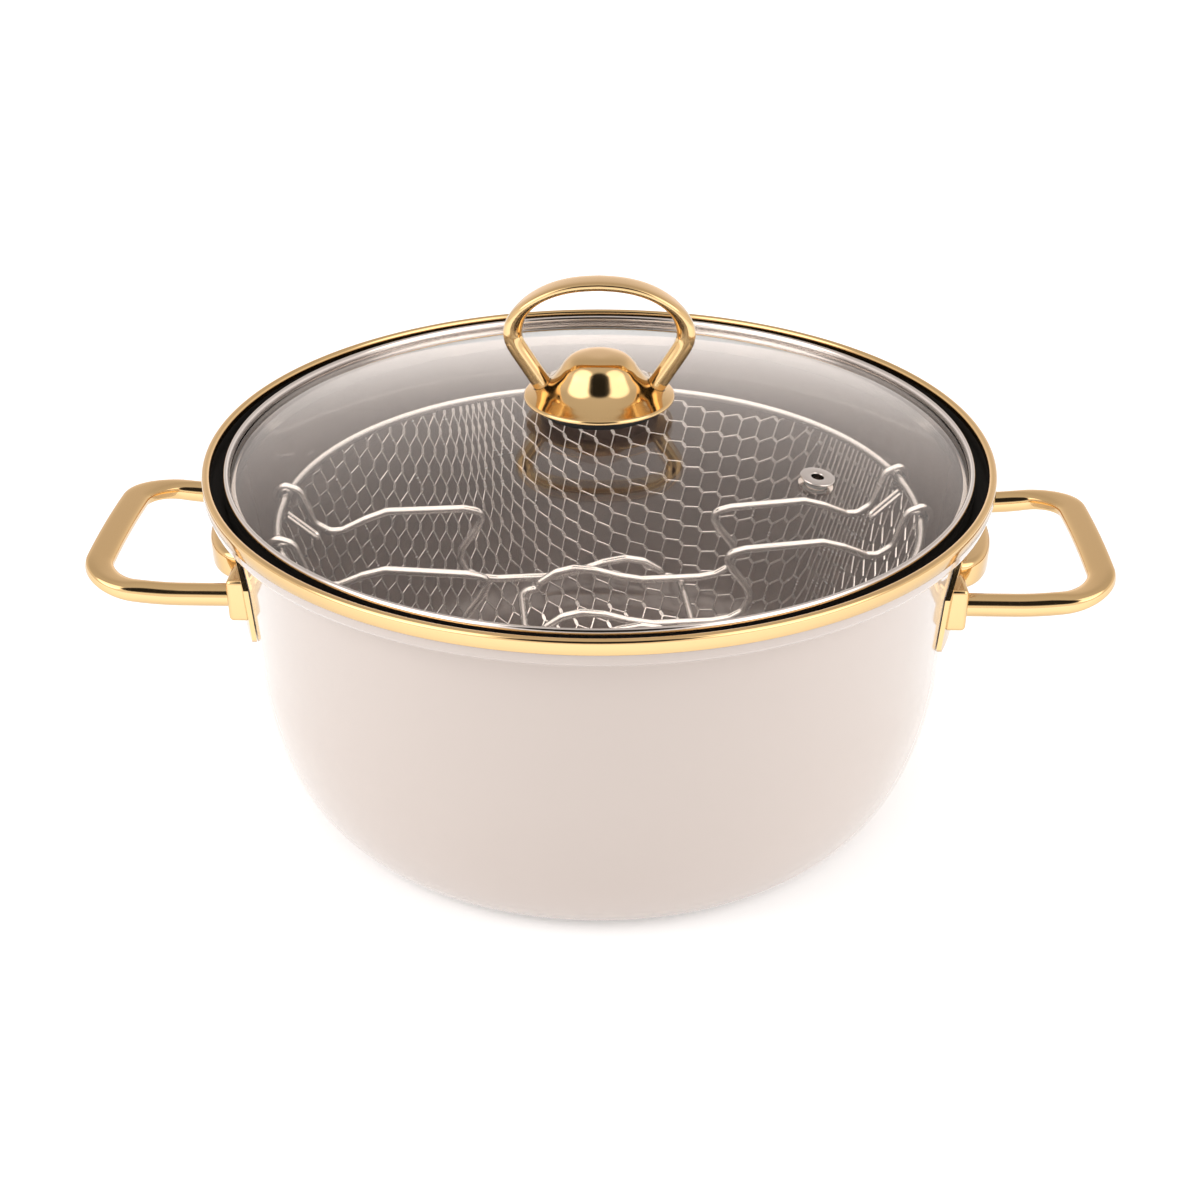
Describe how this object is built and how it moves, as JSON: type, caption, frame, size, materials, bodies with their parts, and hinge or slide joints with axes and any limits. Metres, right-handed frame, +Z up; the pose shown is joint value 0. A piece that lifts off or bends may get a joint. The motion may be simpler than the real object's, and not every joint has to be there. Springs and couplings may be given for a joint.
{
  "type": "deep frying pot with basket and glass lid",
  "caption": "Enamelled steel deep frying pot with gold-coloured rim and loop handles, domed glass lid with a bail knob, and a mesh fry basket with folding wire handles.",
  "frame": {"origin": "Middle of the pot's base, on the surface that it stands on.", "axes": "+Z up, +X out through the right side handle as seen from the front, +Y to the back."},
  "size_m": [0.3408, 0.26, 0.177],
  "materials": {
    "enamel": "glossy warm beige enamel on steel, black enamel inside",
    "gold": "polished gold-coloured plating",
    "lid_steel": "polished stainless steel",
    "basket_steel": "bright plated wire and sheet",
    "glass": "clear tempered glass",
    "rubber": "black silicone"
  },
  "bodies": {
    "pot": {"pot_body": "enamel", "rim_band": "gold", "handle_left": "gold", "handle_right": "gold", "bracket_left": "gold", "bracket_right": "gold"},
    "basket": {"basket_ring": "basket_steel", "basket_mesh_floor": "basket_steel", "basket_mesh_wall": "basket_steel", "basket_stop_left": "basket_steel", "basket_stop_right": "basket_steel"},
    "basket_grip_left": {"basket_handle_left": "basket_steel"},
    "basket_grip_right": {"basket_handle_right": "basket_steel"},
    "lid": {"lid_glass": "glass", "lid_rim": "lid_steel", "vent_eyelet": "lid_steel", "knob_base": "gold", "knob_bail": "gold", "knob_gasket": "rubber", "knob_washer": "lid_steel", "knob_screw": "lid_steel"}
  },
  "joints": [
    {"name": "basket_lift", "type": "slide", "parent": "pot", "child": "basket", "axis": [0, 0, 1], "range_m": [0, 0.15]},
    {"name": "lid_lift", "type": "slide", "parent": "basket", "child": "lid", "axis": [0, 0, 1], "range_m": [0, 0.24]},
    {"name": "left_grip_swing", "type": "hinge", "parent": "basket", "child": "basket_grip_left", "pos_m": [-0.10466, -0.01266, 0.0942], "axis": [0.1201, -0.9928, 0], "range_deg": [0, 55.1]},
    {"name": "right_grip_swing", "type": "hinge", "parent": "basket", "child": "basket_grip_right", "pos_m": [0.10533, 0.01275, 0.0942], "axis": [-0.1201, 0.9928, 0], "range_deg": [0, 110.1]}
  ],
  "couplings": [
    {"joint": "left_grip_swing", "follows": "lid_lift", "rad_per_m": 4},
    {"joint": "right_grip_swing", "follows": "lid_lift", "rad_per_m": 8}
  ]
}
